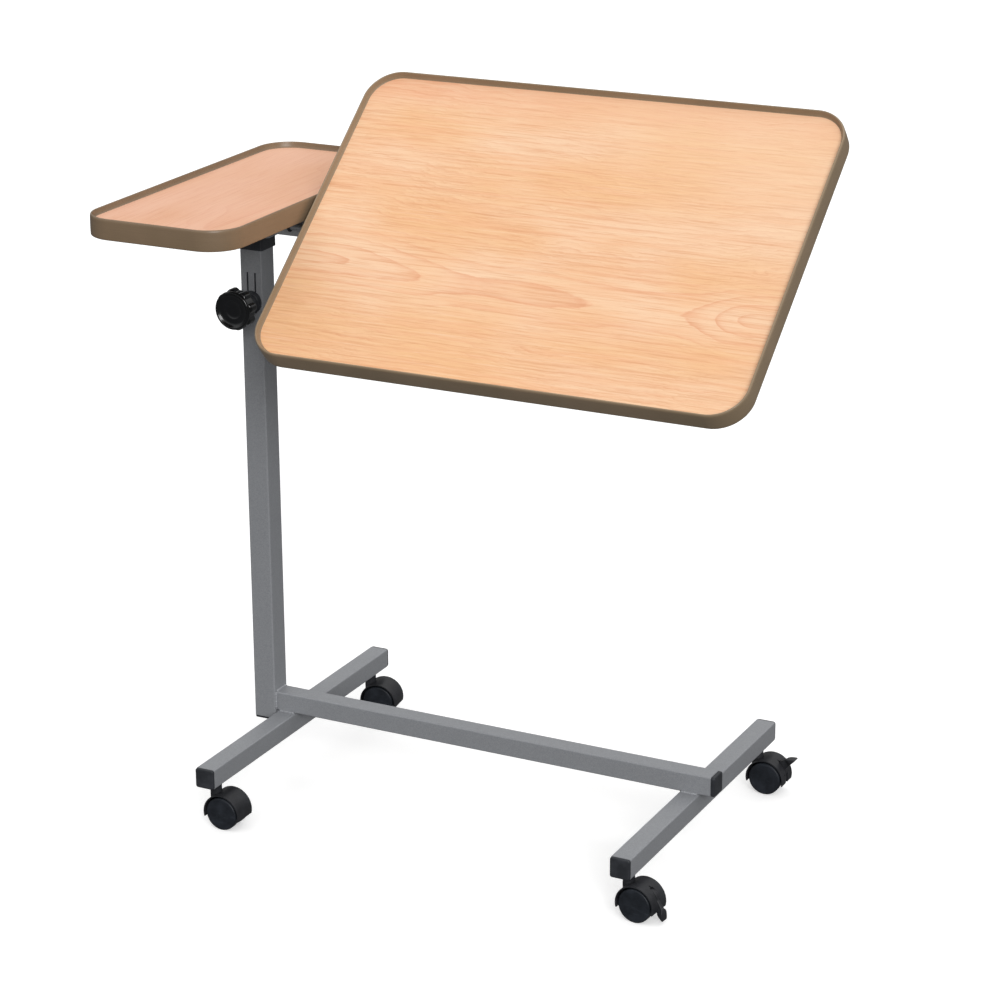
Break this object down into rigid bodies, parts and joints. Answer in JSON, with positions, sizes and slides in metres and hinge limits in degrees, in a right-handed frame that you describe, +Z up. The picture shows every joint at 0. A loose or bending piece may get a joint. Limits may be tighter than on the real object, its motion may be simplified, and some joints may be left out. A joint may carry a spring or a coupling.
{
  "type": "overbed table",
  "caption": "Wheeled overbed table: side-mounted column, fixed side top, wide tilting wood-effect top, height clamp, low base on braked twin-wheel casters.",
  "frame": {"origin": "on the floor, under the middle of the bounding box, with the tilting top at its stored tilt", "axes": "+X along the base rail from the column towards the open end, +Y to the back (the main top's raised edge), +Z up"},
  "size_m": [0.815, 0.461, 0.8844],
  "materials": {
    "hammertone_paint": "speckled satin powder coat",
    "black_plastic": "moulded, fine texture",
    "black_gloss": "polished moulding",
    "caster_plastic": "moulded nylon, slight sheen",
    "caster_wheel": "moulded nylon",
    "zinc_steel": "zinc plated",
    "brass": "turned",
    "chipboard": "raw board",
    "brown_edging": "satin extruded edging",
    "beech_laminate": "satin beech-effect laminate",
    "beech_laminate_side": "satin beech-effect laminate"
  },
  "bodies": {
    "base": {"column_tube": "hammertone_paint", "column_collar": "black_plastic", "column_foot_plug": "black_plastic", "base_rail": "hammertone_paint", "rail_end_cap": "black_plastic", "left_leg": "hammertone_paint", "right_leg": "hammertone_paint", "leg_end_caps": "black_plastic", "stem_sockets": "black_plastic", "caster_stems": "zinc_steel", "weld_beads": "hammertone_paint", "clamp_boss": "black_gloss"},
    "clamp_tip": {"clamp_pad": "brass"},
    "clamp_screw": {"clamp_stud": "zinc_steel", "clamp_knob": "black_gloss"},
    "lift": {"inner_tube": "hammertone_paint", "inner_glide": "black_plastic", "head_plate": "hammertone_paint", "support_arm": "hammertone_paint", "arm_end_caps": "black_plastic", "side_top_brackets": "hammertone_paint", "tilt_axle": "zinc_steel", "axle_lug": "hammertone_paint", "tilt_sector": "zinc_steel", "axle_caps": "black_plastic", "side_board": "chipboard", "side_laminate": "beech_laminate_side", "side_edging": "brown_edging", "side_top_screws": "zinc_steel"},
    "main_top": {"main_board": "chipboard", "main_laminate": "beech_laminate", "main_edging": "brown_edging", "hinge_bracket_left": "hammertone_paint", "hinge_bracket_right": "hammertone_paint", "hinge_bushes": "black_plastic", "main_top_screws": "zinc_steel", "lever_pin": "zinc_steel", "lever_spring": "zinc_steel"},
    "lever": {"release_lever": "zinc_steel", "lever_grip": "black_plastic"},
    "fl_swivel": {"caster_fl_hood": "caster_plastic", "caster_fl_axle": "zinc_steel"},
    "fl_wheel_f": {"caster_fl_wheel_f": "caster_wheel"},
    "fl_wheel_b": {"caster_fl_wheel_b": "caster_wheel"},
    "bl_swivel": {"caster_bl_hood": "caster_plastic", "caster_bl_axle": "zinc_steel"},
    "bl_wheel_f": {"caster_bl_wheel_f": "caster_wheel"},
    "bl_wheel_b": {"caster_bl_wheel_b": "caster_wheel"},
    "fr_swivel": {"caster_fr_hood": "caster_plastic", "caster_fr_axle": "zinc_steel"},
    "fr_wheel_f": {"caster_fr_wheel_f": "caster_wheel"},
    "fr_wheel_b": {"caster_fr_wheel_b": "caster_wheel"},
    "fr_brake": {"caster_fr_brake": "caster_plastic"},
    "br_swivel": {"caster_br_hood": "caster_plastic", "caster_br_axle": "zinc_steel"},
    "br_wheel_f": {"caster_br_wheel_f": "caster_wheel"},
    "br_wheel_b": {"caster_br_wheel_b": "caster_wheel"},
    "br_brake": {"caster_br_brake": "caster_plastic"}
  },
  "joints": [
    {"name": "height", "type": "slide", "parent": "base", "child": "lift", "axis": [0, 0, 1], "range_m": [0, 0.34]},
    {"name": "clamp_travel", "type": "slide", "parent": "base", "child": "clamp_tip", "axis": [0, -1, 0], "range_m": [0, 0.0025]},
    {"name": "knob_turn", "type": "hinge", "parent": "clamp_tip", "child": "clamp_screw", "pos_m": [-0.307, -0.0395, 0.614], "axis": [0, -1, 0], "range_deg": [0, 722]},
    {"name": "top_tilt", "type": "hinge", "parent": "lift", "child": "main_top", "pos_m": [0.073, -0.0195, 0.7153], "axis": [1, 0, 0], "range_deg": [-39.7, 0]},
    {"name": "lever_squeeze", "type": "hinge", "parent": "main_top", "child": "lever", "pos_m": [0.108, -0.05899, 0.68772], "axis": [-1, 0, 0], "range_deg": [0, 8.5], "stiffness_Nm_per_rad": 1.2, "springref_deg": -14.32},
    {"name": "fl_swivel", "type": "hinge", "parent": "base", "child": "fl_swivel", "pos_m": [-0.2765, -0.1825, 0.043], "axis": [0, 0, 1], "continuous": true},
    {"name": "fl_wheel_f_spin", "type": "hinge", "parent": "fl_swivel", "child": "fl_wheel_f", "pos_m": [-0.2613, -0.1935, 0.0207], "axis": [0, 1, 0], "continuous": true},
    {"name": "fl_wheel_b_spin", "type": "hinge", "parent": "fl_swivel", "child": "fl_wheel_b", "pos_m": [-0.2613, -0.1715, 0.0207], "axis": [0, 1, 0], "continuous": true},
    {"name": "bl_swivel", "type": "hinge", "parent": "base", "child": "bl_swivel", "pos_m": [-0.2765, 0.2035, 0.043], "axis": [0, 0, 1], "continuous": true},
    {"name": "bl_wheel_f_spin", "type": "hinge", "parent": "bl_swivel", "child": "bl_wheel_f", "pos_m": [-0.25992, 0.19472, 0.0207], "axis": [-0.1392, 0.9903, 0], "continuous": true},
    {"name": "bl_wheel_b_spin", "type": "hinge", "parent": "bl_swivel", "child": "bl_wheel_b", "pos_m": [-0.26298, 0.21651, 0.0207], "axis": [-0.1392, 0.9903, 0], "continuous": true},
    {"name": "fr_swivel", "type": "hinge", "parent": "base", "child": "fr_swivel", "pos_m": [0.2745, -0.1825, 0.043], "axis": [0, 0, 1], "continuous": true},
    {"name": "fr_wheel_f_spin", "type": "hinge", "parent": "fr_swivel", "child": "fr_wheel_f", "pos_m": [0.28868, -0.19478, 0.0207], "axis": [0.0872, 0.9962, 0], "continuous": true},
    {"name": "fr_wheel_b_spin", "type": "hinge", "parent": "fr_swivel", "child": "fr_wheel_b", "pos_m": [0.2906, -0.17287, 0.0207], "axis": [0.0872, 0.9962, 0], "continuous": true},
    {"name": "fr_brake", "type": "hinge", "parent": "fr_swivel", "child": "fr_brake", "pos_m": [0.3021, -0.18491, 0.0287], "axis": [-0.0872, -0.9962, 0], "range_deg": [0, 91.5]},
    {"name": "br_swivel", "type": "hinge", "parent": "base", "child": "br_swivel", "pos_m": [0.2745, 0.2035, 0.043], "axis": [0, 0, 1], "continuous": true},
    {"name": "br_wheel_f_spin", "type": "hinge", "parent": "br_swivel", "child": "br_wheel_f", "pos_m": [0.2897, 0.1925, 0.0207], "axis": [0, 1, 0], "continuous": true},
    {"name": "br_wheel_b_spin", "type": "hinge", "parent": "br_swivel", "child": "br_wheel_b", "pos_m": [0.2897, 0.2145, 0.0207], "axis": [0, 1, 0], "continuous": true},
    {"name": "br_brake", "type": "hinge", "parent": "br_swivel", "child": "br_brake", "pos_m": [0.3022, 0.2035, 0.0287], "axis": [0, 1, 0], "range_deg": [0, 91.5]}
  ],
  "couplings": [
    {"joint": "knob_turn", "follows": "clamp_travel", "rad_per_m": 5026.5}
  ]
}
